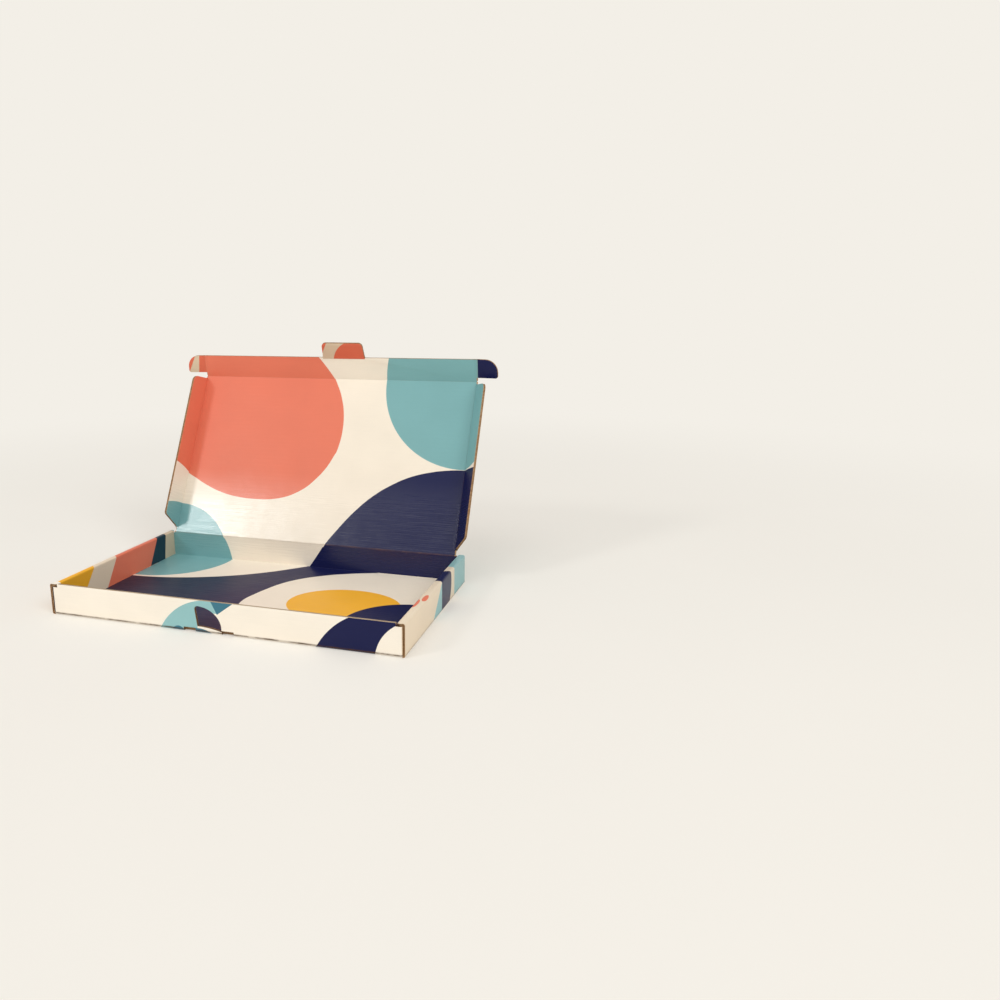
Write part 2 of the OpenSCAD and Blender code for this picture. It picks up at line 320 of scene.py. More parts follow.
def paint_inside(art):
    """Discs and waves of the inside print."""
    floor = art.left_of(500, -30, -100, -30)
    upper = art.g.math("SUBTRACT", 1.0, floor)
    # on the floor a dark wave runs under one curve and left of another
    bank = art.under([(-20, -115.5), (6, -115), (33, -112.3), (60, -106.3), (86, -97), (112, -84), (139, -65.5),
                      (166, -40.5), (192, -12)])
    shore = art.under([(-235, 197), (-218, 197), (-200, 192.5), (-183, 178), (-166, 161), (-148, 157.8),
                       (-131, 160.5), (-114, 164.8), (-96, 171), (-79, 181), (-62, 198), (-44, 227),
                       (-27, 275)], "v")
    hill = art.under([(165, -43), (184, -16.5), (204, 13.5), (223, 38.5), (242, 57.5), (262, 71.5), (281, 81),
                      (301, 87), (320, 90.3), (339, 91.4), (359, 90.6), (378, 88)])
    art.lay(SLATE, floor, bank, shore)
    art.lay(NAVY, floor, bank, shore, art.left_of(105, 0, 105, -300, soft=110))
    art.lay(YELLOW, floor, art.disc(257, -134.6, 56.5, 0.765))
    art.lay(NAVY, floor, art.disc(328.7, -172.5, 59))
    art.lay(NAVY, upper, hill)
    art.lay(TEAL, art.disc(9.8, -38.5, 72.3))
    # the large disc is drawn out to the left edge of the lid
    foot = art.under([(-20, 78.5), (-1, 75), (18, 67), (37, 57.8), (56, 50.8), (75, 46.6), (95, 44.8),
                      (114, 45), (133, 48), (152, 55.8), (171, 71.5), (190, 103)])
    brow = art.under([(78, 178), (96, 188), (114, 192.8), (132, 194), (150, 192.2), (168, 187), (186, 178.3),
                      (204, 166.8), (222, 152.5)], "v")
    art.lay(CORAL, art.g.math("SUBTRACT", upper, foot, clamp=True), brow)
    art.lay(TEAL, art.disc(336.6, 191, 99.2))
    # ears and tab: the left ear and the tab get darker copies of the coral and the cream, as painted shade
    art.lay(NAVY, art.within(341.2, 400, 193.5, 230))
    ear = art.within(-50, 9.2, 193.5, 230)
    art.lay(CORAL_SHADED, ear)
    art.lay(TAN_AND_SHADED_CREAM, ear, art.left_of(-0.7, 196, 2.1, 215.3))
    art.lay(CORAL_SHADED, ear, art.left_of(-11.5, 200, -4.5, 214))
    tab = art.within(161.5, 212.5, 215.8, 250)
    art.lay(TAN_AND_SHADED_CREAM, tab)
    art.lay(CORAL_SHADED, tab, art.disc(202.5, 209, 28.4))
    art.lay(CORAL_SHADED, tab, art.left_of(162, 222, 169.5, 236))
    # creases: the crushed liner along each, with painted shade in its fold
    marks = [art.dark_line("v", at, 9, 341) for at in (0, LID_LEN)] + [art.dark_line("v", TAB_V, TAB_LEFT, TAB_RIGHT)]
    marks += [art.dark_line("x", x, 5, 217) for x in (9.4, 340.6)]
    for mark in marks:
        art.colour = art.g.mix(mark, art.colour, KRAFT_DARK)


def paint_outside(art):
    """The outside print: front, side and back walls and the lid's top."""
    # front wall: half discs that the thumb hole and the foot cut off; its teal is a lighter copy, as painted
    # light
    art.lay(TEAL_LIT, art.disc(169.5, -202.2, 58.5), art.within(100, 178, -262, -226))
    art.lay(CREAM_OUT, art.within(167, 185, -249.3, -200))
    art.lay(TEAL_DEEP, art.left_of(176, -249.3, 170.7, -259.7), art.left_of(193, -260.6, 176, -248.2),
            art.within(160, 200, -262, -245))
    art.lay(TEAL_DEEP, art.disc(136.5, -227, 7))
    art.lay(CREAM_OUT, art.within(156, 183, -235.8, -200))
    art.lay(TEAL_DEEP, art.disc(157, -229, 12, 0.4))
    front = art.within(-50, 350, -262, -200)
    art.lay(NAVY, front, art.disc(335, -195, 73.6))
    art.lay(CREAM_OUT, front, art.disc(362, -224, 38.8))
    # lid's top
    art.lay(CORAL, art.disc(95, 120, 92))
    art.lay(TEAL, art.disc(322, 60, 84))
    art.lay(YELLOW, art.disc(250, 205, 60))
    art.lay(NAVY, art.disc(344, 232, 78))
    # right side wall: its cream painted darker, as painted shade, and its teal painted lighter, as painted
    # light
    wall = art.within(350.5, 388, -260, -10)
    art.lay(OAT_AND_SHADED_CREAM, wall)
    art.lay(CORAL, wall, art.disc(386, -181, 2.6, 4))
    art.lay(CORAL, wall, art.disc(381.5, -166, 2.4, 3.4))
    rear = art.left_of(300, -117.5, 400, -117.5)
    art.lay(TEAL_LIT, wall, art.left_of(350, -146, 384, -113), art.left_of(400, -117.5, 300, -117.5))
    art.lay(NAVY, wall, rear, art.disc(370, -117, 33.5))
    art.lay(TEAL_LIT, wall, art.left_of(300, -72, 400, -72))
    # left side wall: each band ends at these distances from the front, at the wall's top and at its foot
    left = art.left_of(0, -300, 0, 0)
    bands = ((TEAL, 400, 400), (TAN_AND_SHADED_CREAM, 198, 199), (TEAL_DARK, 181, 177), (CORAL, 164, 149), (OAT_AND_SHADED_CREAM, 91, 73.5),
             (YELLOW, 55, 34.5), (CREAM_OUT, 6, 0))
    for colour, top, foot in bands:
        art.lay(colour, left, art.left_of(-37.5, top + FRONT_V, -65, foot + FRONT_V))
    art.lay(CREAM_OUT, art.within(-33, -30.3, -300, 10))
    # painted shadow along the walls' feet, where the table takes the light
    art.colour = art.g.mix(art.dark_line("v", -231.2, 4, 348, 1.5, 1.7), art.colour, SHADE_BROWN)
    art.colour = art.g.mix(art.dark_line("x", 350.9, -229, -2, 0.5, 2.0), art.colour, SHADE_BROWN)


def raw_board(name, painted):
    """Unprinted brown paper: liners' edges, flutes and cut faces."""
    g = Graph(name)
    where = g.node("ShaderNodeTexCoord").outputs["Object"]
    fibre = g.noise(where, 2600.0, 4.0, 0.7)
    along = g.noise(g.stretch(where, (120.0, 120.0, 900.0)), 1.0, 3.0, 0.6)
    tone = g.math("MULTIPLY_ADD", along, 0.7, g.math("MULTIPLY", fibre, 0.3))
    colour = g.mix(g.ramp(tone, 0.3, 0.7), KRAFT_DARK, KRAFT)
    xyz = g.node("ShaderNodeSeparateXYZ", None, {0: where})
    x, y, z = xyz.outputs
    # the front wall's top edge is painted a pale kraft
    pale_top = g.math("MULTIPLY", g.ramp(z, 0.0288, 0.0292), g.ramp(y, -0.0965, -0.097))
    pale_top = g.math("MULTIPLY", pale_top, g.ramp(g.math("ABSOLUTE", x), 0.1722, 0.1718))
    colour = g.mix(pale_top, colour, PALE_KRAFT)
    if painted:
        # slots and notches: liners and flutes are drawn on the cut across the wall, the hollows between them in
        # painted shade, and painted shade darkens the cuts towards the right
        across = g.math("MULTIPLY_ADD", g.math("ABSOLUTE", y), 1000.0, -(HALF_D - H))
        wave = g.math("MULTIPLY", g.math("SINE", g.math("MULTIPLY", z, 2 * math.pi / (PITCH * MM))), WAVE)
        medium = g.math("LESS_THAN", g.math("ABSOLUTE", g.math("SUBTRACT", across, wave)), 0.22)
        liner = g.math("GREATER_THAN", g.math("ABSOLUTE", across), H - LINER)
        colour = g.mix(g.math("MAXIMUM", medium, liner), SHADE_BROWN, colour)
        colour = g.mix(g.ramp(x, -0.17, 0.17, 0.0, 0.55), colour, SHADE_BROWN)
    g.put(g.shader.inputs["Base Color"], colour)
    g.put(g.shader.inputs["Roughness"], g.ramp(fibre, 0.3, 0.7, 0.8, 0.95))
    g.shader.inputs["Specular IOR Level"].default_value = 0.2
    g.put(g.shader.inputs["Normal"], g.bump(g.math("MULTIPLY", tone, 0.25)))
    return g.material


MATERIALS = [
    printed("print_inside", paint_inside, CREAM, 0.37),
    printed("print_outside", paint_outside, CREAM_OUT, 0.34),
    raw_board("raw_board", False),
    raw_board("cut_board", True),
]


# Board ---------------------------------------------------------------------


class Board:
    """Faces of folded board; each corner is (point, (x, v)), with its place on the unfolded sheet."""

    def __init__(self):
        self.points, self.faces, self.kinds, self.uvs = [], [], [], []

    def face(self, corners, kind):
        first = len(self.points)
        self.points += [c[0] for c in corners]
        self.uvs += [c[1] for c in corners]
        self.faces.append(list(range(first, first + len(corners))))
        self.kinds.append(kind)

    def strip(self, row_a, row_b, kind):
        """Quads between two rows of corners."""
        for i in range(len(row_a) - 1):
            self.face([row_a[i], row_a[i + 1], row_b[i + 1], row_b[i]], kind)

    def mesh(self, name, solid=True):
        mesh = bpy.data.meshes.new(name)
        mesh.from_pydata([tuple(p * MM) for p in self.points], [], self.faces)
        for m in MATERIALS:
            mesh.materials.append(m)
        mesh.polygons.foreach_set("material_index", self.kinds)
        layer = mesh.uv_layers.new(name="sheet")
        layer.data.foreach_set("uv", [c * MM for face in self.faces for i in face for c in self.uvs[i]])
        bm = bmesh.new()
        bm.from_mesh(mesh)
        bmesh.ops.remove_doubles(bm, verts=bm.verts, dist=2e-6)
        bmesh.ops.dissolve_degenerate(bm, edges=bm.edges, dist=1e-6)
        if solid:
            bmesh.ops.recalc_face_normals(bm, faces=bm.faces)
        bm.to_mesh(mesh)
        bm.free()
        smooth(mesh)
        return mesh


def smooth(mesh):
    mesh.polygons.foreach_set("use_smooth", [True] * len(mesh.polygons))
    mesh.set_sharp_from_angle(angle=math.radians(32))
    mesh.update()


def add(name, mesh):
    obj = bpy.data.objects.new(name, mesh)
    bpy.context.scene.collection.objects.link(obj)
    return obj


def join(name, meshes):
    """One object of several meshes."""
    bm = bmesh.new()
    for m in meshes:
        bm.from_mesh(m)
    mesh = bpy.data.meshes.new(name)
    for m in MATERIALS:
        mesh.materials.append(m)
    bm.to_mesh(mesh)
    bm.free()
    smooth(mesh)
    return add(name, mesh)


def corner_arc(a, c, b, r, steps=7):
    """Arc that rounds the corner c between its neighbours a and b."""
    u, v = unit(a - c), unit(b - c)
    half = math.acos(float(u @ v)) / 2
    centre = c + unit(u + v) * r / math.sin(half)
    first, last = c + u * r / math.tan(half) - centre, c + v * r / math.tan(half) - centre
    a0, a1 = math.atan2(first[1], first[0]), math.atan2(last[1], last[0])
    turn = (a1 - a0 + 3 * math.pi) % (2 * math.pi) - math.pi
    angles = [a0 + turn * i / steps for i in range(steps + 1)]
    return [centre + r * vec(math.cos(a), math.sin(a)) for a in angles]


def outline(corners):
    """Outline and kinds of its edges from (a, b, radius, kind of the edge that follows)."""
    points, kinds = [], []
    for i, (a, b, r, kind) in enumerate(corners):
        c, p, q = vec(a, b), vec(corners[i - 1][:2]), vec(corners[(i + 1) % len(corners)][:2])
        arc = corner_arc(p, c, q, r) if r else [c]
        points += arc
        kinds += [EDGE] * (len(arc) - 1) + [kind]
    area = sum(points[i - 1][0] * points[i][1] - points[i][0] * points[i - 1][1] for i in range(len(points)))
    if area < 0:
        points = points[::-1]
        kinds = kinds[::-1][1:] + [kinds[::-1][0]]
    return points, kinds


def inset(points, amounts):
    """Counter-clockwise outline with each edge moved inwards by its own amount."""
    lines = []
    for i, p in enumerate(points):
        d = unit(points[(i + 1) % len(points)] - p)
        lines.append((p + vec(-d[1], d[0]) * amounts[i], d))
    out = []
    for i in range(len(points)):
        (p, d), (q, e) = lines[i - 1], lines[i]
        cross = d[0] * e[1] - d[1] * e[0]
        if abs(cross) < 1e-5:
            out.append(q)
        else:
            gap = q - p
            out.append(p + d * (gap[0] * e[1] - gap[1] * e[0]) / cross)
    return out


def edge_profile(groove):
    """Steps across a cut edge, inner to outer face: inset, height and the kind of the face up to it."""
    deep = H - LINER
    return [
        (SOFT, H, None), (0.3 * SOFT, H - 0.3 * SOFT, INSIDE), (0.0, H - SOFT, RAW), (0.0, deep, RAW),
        (groove, deep, RAW), (groove, -deep, RAW), (0.0, -deep, RAW), (0.0, SOFT - H, RAW),
        (0.3 * SOFT, 0.3 * SOFT - H, RAW), (SOFT, -H, OUTSIDE),
    ]


def plate(board, shape, origin, e1, e2, normal, sheet, mitre=0.0, groove=GROOVE):
    """Flat board: inner face towards normal, cut edges with the flutes showing, fold edges closed."""
    points, kinds = shape
    n = len(points)
    profile = edge_profile(groove)
    rings = []
    for step, z, _ in profile:
        flat = inset(points, [step if k == EDGE else mitre * (z + H) / BOARD for k in kinds])
        rings.append([(origin + e1 * p[0] + e2 * p[1] + normal * z, sheet(p[0], p[1])) for p in flat])
    board.face(rings[0], INSIDE)
    board.face(rings[-1][::-1], OUTSIDE)
    for k in range(1, len(rings)):
        for i in range(n):
            j = (i + 1) % n
            if kinds[i] == FOLD and profile[k][1] == profile[k - 1][1]:
                continue
            board.face([rings[k][i], rings[k][j], rings[k - 1][j], rings[k - 1][i]], profile[k][2])
    outer = inset(points, [FLUTE_BACK if k == EDGE else 0.05 for k in kinds])
    inner = inset(points, [groove if k == EDGE else 0.05 for k in kinds])
    for i in range(n):
        if kinds[i] == EDGE:
            j = (i + 1) % n
            flute(board, (outer[i], inner[i], outer[j], inner[j]), origin, e1, e2, normal, sheet)


def flute(board, ends, origin, e1, e2, normal, sheet):
    """The fluted medium along one cut edge."""
    a, b, c, d = ends
    rise = abs(sheet(c[0], c[1])[1] - sheet(a[0], a[1])[1])
    count = max(1, math.ceil(rise / 0.55))
    rows = [[], [], [], []]
    for i in range(count + 1):
        t = i / count
        for p, first in ((a + (c - a) * t, True), (b + (d - b) * t, False)):
            uv = sheet(p[0], p[1])
            z = WAVE * math.sin(2 * math.pi * uv[1] / PITCH)
            at = origin + e1 * p[0] + e2 * p[1]
            rows[0 if first else 3].append((at + normal * (z - MEDIUM / 2), uv))
            rows[1 if first else 2].append((at + normal * (z + MEDIUM / 2), uv))
    for p, q in ((0, 1), (1, 2), (3, 0)):
        board.strip(rows[p], rows[q], RAW)


def bead(board, start, end, e1, e2, uv_start, uv_end):
    """Rounded core of a crease, under its two ribbons."""
    rows = []
    for i in range(17):
        a = 2 * math.pi * i / 16
        r = (H - 0.14) * (e1 * math.cos(a) + e2 * math.sin(a))
        rows.append([(start + r, uv_start), (end + r, uv_end)])
    for a, b in zip(rows, rows[1:]):
        board.strip(a, b, RAW)
    board.face([r[0] for r in rows[:-1]], RAW)
    board.face([r[1] for r in rows[:-1]][::-1], RAW)


# The tray ------------------------------------------------------------------


def fold_arc(outer_corner, start_dir, end_dir, inner_corner, steps=6):
    """Outer and inner points round a square fold, from facing start_dir to facing end_dir."""
    a, b = vec(start_dir), vec(end_dir)
    centre = vec(outer_corner) - (a + b) * FOLD_R
    out, inn = [], []
    for i in range(steps + 1):
        t = math.pi / 2 * i / steps
        d = a * math.cos(t) + b * math.sin(t)
        out.append(centre + d * FOLD_R)
        inn.append(vec(inner_corner) - (a + b) * 0.3 + d * 0.3)
    return out, inn


def sheet_v(y, z):
    """Place along the unfolded sheet of a point on the front wall, floor or back wall."""
    if y > HALF_D - BOARD - 0.01 and z > H:
        return z - BOX_H
    if y < -HALF_D + BOARD + 0.01 and z > H:
        return FRONT_V - z
    return BACK_V - (HALF_D - y)


def cross_board():
    """Front wall, floor and back wall: one strip, extruded across the box."""
    board = Board()
    front, back, low = -HALF_D, HALF_D, 0.0
    top, hinge = BOX_H, BOX_H - H
    out_f, in_f = fold_arc((front, low), (-1, 0), (0, -1), (front + BOARD, BOARD))
    out_b, in_b = fold_arc((back, low), (0, -1), (1, 0), (back - BOARD, BOARD))
    # (y, z, kind of the face to the next point, how far it rounds off with the wall's ends)
    ring = [
        (front + LINER, top, RAW, 1 - LINER / BOARD), (front + SOFT, top, RAW, 1 - SOFT / BOARD),
        (front + 0.3 * SOFT, top - 0.3 * SOFT, OUTSIDE, 1), (front, top - SOFT, OUTSIDE, 1),
        (front, 16.0, OUTSIDE, 1),
    ]
    ring += [(p[0], p[1], OUTSIDE, 1 - i / 6) for i, p in enumerate(out_f)]
    ring += [(y, low, OUTSIDE, 0) for y in (-60.0, 0.0, 60.0)]
    ring += [(p[0], p[1], OUTSIDE, i / 6) for i, p in enumerate(out_b)]
    ring += [(back, 16.0, OUTSIDE, 1), (back, hinge, RAW, 1), (back - BOARD, hinge, INSIDE, 0)]
    ring += [(p[0], p[1], INSIDE, 0) for p in in_b[::-1]]
    ring += [(y, BOARD, INSIDE, 0) for y in (60.0, 0.0, -60.0)]
    ring += [(p[0], p[1], INSIDE, 0) for p in in_f[::-1]]
    inner = front + BOARD
    ring += [
        (inner, top - SOFT, INSIDE, 0), (inner - 0.3 * SOFT, top - 0.3 * SOFT, RAW, 0),
        (inner - SOFT, top, RAW, 0), (inner - LINER, top, RAW, 0), (inner - LINER, top - GROOVE, RAW, 0),
        (front + LINER, top - GROOVE, RAW, 1 - LINER / BOARD),
    ]
    half = HALF_W - BOARD
    turns = [FOLD_R * (1 - math.cos(math.radians(a))) for a in (0, 18, 36, 54, 72, 90)]
    columns = []
    for x in [-half + t for t in turns] + [half - t for t in turns[::-1]]:
        near = FOLD_R - min(FOLD_R, half - abs(x))
        off = FOLD_R - math.sqrt(max(0.0, FOLD_R**2 - near**2))
        columns.append([
            (vec(x, y - math.copysign(off * wall, y), z), (x + HALF_W, sheet_v(y, z))) for y, z, _, wall in ring
        ])
    n = len(ring)
    for a, b in zip(columns, columns[1:]):
        for i in range(n):
            j = (i + 1) % n
            board.face([a[i], a[j], b[j], b[i]], ring[i][2])
    board.face(columns[0], RAW)
    board.face(columns[-1][::-1], RAW)
    return board.mesh("cross_board")


def roll_board(side):
    """Outer wall, rolled top and inner wall of one side: one strip, extruded along the box."""
    board = Board()
    out0, in0 = fold_arc((HALF_W, 0), (0, -1), (1, 0), (HALF_W - BOARD, BOARD))
    out1, in1 = fold_arc((HALF_W, BOX_H), (1, 0), (0, 1), (HALF_W - BOARD, BOX_H - BOARD))
    out2, in2 = fold_arc((HALF_W - WALL, BOX_H), (0, 1), (-1, 0), (HALF_W - 2 * BOARD, BOX_H - BOARD))
    foot = BOARD + 0.02
    middle = BOX_H / 2
    outer = [vec(HALF_W - BOARD, 0)] + out0 + [vec(HALF_W, middle)] + out1 + out2
    outer += [vec(HALF_W - WALL, middle), vec(HALF_W - WALL, foot)]
    inner = [vec(HALF_W - BOARD, BOARD)] + in0 + [vec(HALF_W - BOARD, middle)] + in1 + in2
    inner += [vec(HALF_W - 2 * BOARD, middle), vec(HALF_W - 2 * BOARD, foot)]
    count = len(outer)
    turn_start = len(out0) + len(out1) + 2
    along = [0.0]
    for a, b in zip(outer, outer[1:]):
        along.append(along[-1] + float(np.linalg.norm(b - a)))
    along = [a * (2 * BOX_H + WALL) / along[-1] for a in along]
    limit = [HALF_D - BOARD * min(1.0, max(0.0, (i - turn_start) / (len(out2) - 1))) for i in range(count)]
    profile = [
        (SOFT, 0.0, None), (0.3 * SOFT, 0.3 * SOFT, OUTSIDE), (0.0, SOFT, RAW), (0.0, LINER, RAW),
        (GROOVE, LINER, RAW), (GROOVE, BOARD - LINER, RAW), (0.0, BOARD - LINER, RAW), (0.0, BOARD - SOFT, RAW),
        (0.3 * SOFT, BOARD - 0.3 * SOFT, RAW), (SOFT, BOARD, INSIDE),
    ]

    section = ((-0.5, FLUTE_BACK), (0.5, FLUTE_BACK), (0.5, GROOVE), (-0.5, GROOVE))

    def corner(i, deep, end, back_off):
        p = outer[i] + (inner[i] - outer[i]) * deep / BOARD
        y = end * (limit[i] - back_off)
        return vec(side * p[0], y, p[1]), (HALF_W + side * (HALF_W - BOARD + along[i]), y + FLOOR_V)

    for i in range(count - 1):
        for deep, kind in ((0.0, OUTSIDE), (BOARD, INSIDE)):
            ends = ((i, -1), (i + 1, -1), (i + 1, 1), (i, 1))
            board.face([corner(k, deep, end, SOFT) for k, end in ends], kind)
        for end in (-1, 1):
            for (s0, d0, _), (s1, d1, kind) in zip(profile, profile[1:]):
                quad = ((i, d0, s0), (i + 1, d0, s0), (i + 1, d1, s1), (i, d1, s1))
                board.face([corner(k, d, end, s) for k, d, s in quad], kind)
            rows = [[], [], [], []]
            for k in (i, i + 1):
                mid = H + WAVE * (0.5 + 0.3 * math.sin(along[k] * 0.35)) * side * end
                for row, (shift, back) in zip(rows, section):
                    row.append(corner(k, mid + shift * MEDIUM, end, back))
            for p, q in ((0, 1), (1, 2), (3, 0)):
                board.strip(rows[p], rows[q], RAW)
    for i in (0, count - 1):
        front_end = [corner(i, d, -1, s) for s, d, _ in profile]
        board.face(front_end + [corner(i, d, 1, s) for s, d, _ in profile[::-1]], RAW)
    return board.mesh("roll_board")


def hidden_flaps(side):
    """Dust flaps inside one side wall and the lock tabs in the floor's slots."""
    board = Board()
    x = side * (HALF_W - BOARD - H)
    for end in (-1, 1):
        shape = outline([
            (0.0, 0.0, 0, EDGE), (DUST_LEN, 0.0, 0, EDGE), (DUST_LEN, DUST_H, 0, EDGE), (0.0, DUST_H, 0, FOLD),
        ])
        e1, e2 = vec(0, -end, 0), vec(0, 0, 1)
        plate(board, shape, vec(x, end * (HALF_D - BOARD), BOARD), e1, e2, np.cross(e1, e2),
              lambda a, b: (HALF_W + side * (HALF_W + a), -235.0 - b))
    x = side * (HALF_W - WALL + H)
    for end in (-1, 1):
        shape = outline([
            (-LOCK_HALF, 0.0, 0, EDGE), (LOCK_HALF, 0.0, 0, EDGE), (LOCK_HALF, BOARD, 0, FOLD),
            (-LOCK_HALF, BOARD, 0, EDGE),
        ])
        plate(board, shape, vec(x, end * LOCK_OFF, 0), vec(0, 1, 0), vec(0, 0, 1), X,
              lambda a, b: (HALF_W + side * 245.0, a), groove=SIDE_GROOVE)
    return board.mesh("hidden_flaps")


def tool(points, low, high, axis):
    """Closed cutter: an outline run through from low to high along an axis (y or z)."""
    bm = bmesh.new()
    rows = []
    for h in (low, high):
        places = [(p[0], h, p[1]) if axis == "y" else (p[0], p[1], h) for p in points]
        rows.append([bm.verts.new([c * MM for c in place]) for place in places])
    bm.faces.new(rows[0])
    bm.faces.new(rows[1][::-1])
    for i in range(len(points)):
        j = (i + 1) % len(points)
        bm.faces.new([rows[0][j], rows[0][i], rows[1][i], rows[1][j]])
    bmesh.ops.recalc_face_normals(bm, faces=bm.faces)
    mesh = bpy.data.meshes.new("cutter")
    bm.to_mesh(mesh)
    bm.free()
    return mesh


def rect(x0, x1, y0, y1):
    return [(x0, y0), (x1, y0), (x1, y1), (x0, y1)]


def thumb_outline():
    """Quarter-round thumb hole over a lip that curves down to the right."""
    low = [(-11 + 24 * t, LIP_H - 3 * t * t) for t in (i / 16 for i in range(17))]
    angles = [math.pi / 2 * i / 24 for i in range(25)]
    arc = [(-10.5 + 23.5 * math.cos(a), LIP_H + 19 * math.sin(a)) for a in angles]
    top = [(-11.6, 24.1), (-12.5, 23.2), (-13, 21.8), (-12.9, 20.2)]
    return [(LOCK_X + x, z) for x, z in low + arc + top]


def cut_tray(mesh):
    """Slots, thumb hole, notches and floor slots, cut through the strip."""
    cuts = [tool(thumb_outline(), -HALF_D - 1, -HALF_D + BOARD + 1, "y")]
    for side in (-1, 1):
        centre = LOCK_X + side * SLOT_OFF
        slot = rect(centre - SLOT_HALF, centre + SLOT_HALF, -1, SLOT_TOP)
        cuts.append(tool(slot, -HALF_D - 1, -HALF_D + BOARD + 1, "y"))
        centre = side * (HALF_W - WALL / 2)
        for y in (-HALF_D - 1, HALF_D - BOARD - 1):
            notch = rect(centre - NOTCH_HALF, centre + NOTCH_HALF, NOTCH_FOOT, BOX_H + 2)
            cuts.append(tool(notch, y, y + BOARD + 2, "y"))
        centre = side * (HALF_W - WALL + H)
        dx, dy = FLOOR_SLOT
        for y in (-LOCK_OFF, LOCK_OFF):
            cuts.append(tool(rect(centre - dx, centre + dx, y - dy, y + dy), -1, BOARD + 1, "z"))
    body = add("strip", mesh)
    cutters = []
    for cut in cuts:
        for m in MATERIALS:
            cut.materials.append(m)
        cut.polygons.foreach_set("material_index", [CUT] * len(cut.polygons))
        cutters.append(add("cutter", cut))
        mod = body.modifiers.new("cut", "BOOLEAN")
        mod.operation, mod.solver, mod.object = "DIFFERENCE", "EXACT", cutters[-1]
    graph = bpy.context.evaluated_depsgraph_get()
    graph.update()
    out = bpy.data.meshes.new_from_object(body.evaluated_get(graph))
    for obj in [body] + cutters:
        bpy.data.objects.remove(obj)
    return out


def front_flute():
    """The medium in the front wall's top edge, a little crushed here and there."""
    board = Board()
    half, steps = 166.8, 180
    section = ((-0.5, -FLUTE_BACK), (0.5, -FLUTE_BACK), (0.5, -GROOVE), (-0.5, -GROOVE))
    rows = [[], [], [], []]
    for i in range(steps + 1):
        x = -half + 2 * half * i / steps
        y = -HALF_D + H + 0.35 * math.sin(x / 23.0) * math.sin(x / 7.3 + 1) - 0.15
        for row, (dy, dz) in zip(rows, section):
            row.append((vec(x, y + dy * MEDIUM, BOX_H + dz), (x + HALF_W, -259.0)))
    for p, q in ((0, 1), (1, 2), (3, 0)):
        board.strip(rows[p], rows[q], RAW)
    return board.mesh("front_flute")


parts = [cut_tray(cross_board()), front_flute()]
for side in (-1, 1):
    parts += [roll_board(side), hidden_flaps(side)]
core = Board()
bead(core, HINGE - X * HINGE_HALF, HINGE + X * HINGE_HALF, vec(0, 1, 0), vec(0, 0, 1), (9, 0), (341, 0))
parts.append(core.mesh("hinge_core"))
tray = join("tray_board", parts)
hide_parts("tray")
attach(tray, "tray")


# The lid -------------------------------------------------------------------


def panel(name, node, board):
    """A board piece in place of a node, on the node's own body."""
    obj = add(name, board.mesh(name))
    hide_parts(node)
    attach(obj, "lid" if node == "lid_panel" else node)


LID_LEFT, LID_RIGHT = HALF_W - LID_HALF, HALF_W + LID_HALF
lid = Board()
sides = ((-LID_HALF, START), (LID_HALF, START), (LID_HALF, LID_LEN - 0.4), (-LID_HALF, LID_LEN - 0.4))
shape = outline([(a, b, 0, FOLD) for a, b in sides])
plate(lid, shape, HINGE, X, LID_U, LID_N, lambda a, b: (a + HALF_W, b))
crease = HINGE + LID_U * LID_LEN
bead(lid, crease - X * LID_HALF, crease + X * LID_HALF, LID_U, LID_N, (LID_LEFT, LID_LEN), (LID_RIGHT, LID_LEN))
for side in (-1, 1):
    edge = HINGE + side * LID_HALF * X
    x = HALF_W + side * LID_HALF
    bead(lid, edge + LID_U * START, edge + LID_U * LID_LEN, X, LID_N, (x, START), (x, LID_LEN))
panel("lid_board", "lid_panel", lid)

front = Board()
shape = outline([
    (-LID_HALF, START, 0, FOLD), (LID_HALF, START, 0, FOLD), (LID_HALF, PANEL_LEN, 0, EDGE),
    (TAB_X + TAB_W / 2, PANEL_LEN, 0, EDGE), (TAB_X + TAB_W / 2, TAB_CREASE, 0, FOLD),
    (TAB_X - TAB_W / 2, TAB_CREASE, 0, EDGE), (TAB_X - TAB_W / 2, PANEL_LEN, 0, EDGE),
    (-LID_HALF, PANEL_LEN, 0, FOLD),
])
plate(front, shape, FRONT_P, X, FRONT_D, FRONT_N, lambda a, b: (a + HALF_W, LID_LEN + b), groove=FRONT_GROOVE)
bead(front, TAB_P - X * TAB_W / 2, TAB_P + X * TAB_W / 2, FRONT_D, FRONT_N,
     (TAB_LEFT, TAB_V), (TAB_RIGHT, TAB_V))
for side in (-1, 1):
    edge = FRONT_P + side * LID_HALF * X
    x = HALF_W + side * LID_HALF
    bead(front, edge + FRONT_D * START, edge + FRONT_D * PANEL_LEN, X, FRONT_N,
         (x, LID_LEN + START), (x, LID_LEN + PANEL_LEN))
panel("front_board", "front_panel", front)


def side_piece(name, node, side, root, along, normal, fold, corners, v0):
    """A flap or an ear on one side: corners are (out from the crease, along it, radius, kind)."""
    out, inward = side_frame(side, fold, normal)
    board = Board()
    shape = outline([(side * a, b, r, k) for a, b, r, k in (corners if side > 0 else mirrored(corners))])
    plate(board, shape, root + side * LID_HALF * X, out * side, along, inward,
          lambda a, b: (HALF_W + side * LID_HALF + a, v0 + b), mitre=MITRE, groove=SIDE_GROOVE)
    panel(name, node, board)


def mirrored(corners):
    """The same corners in the other order, each with the kind of the edge that now follows it."""
    kinds = [c[3] for c in corners]
    turned = []
    for i in range(len(corners) - 1, -1, -1):
        turned.append((*corners[i][:3], kinds[i - 1]))
    return turned


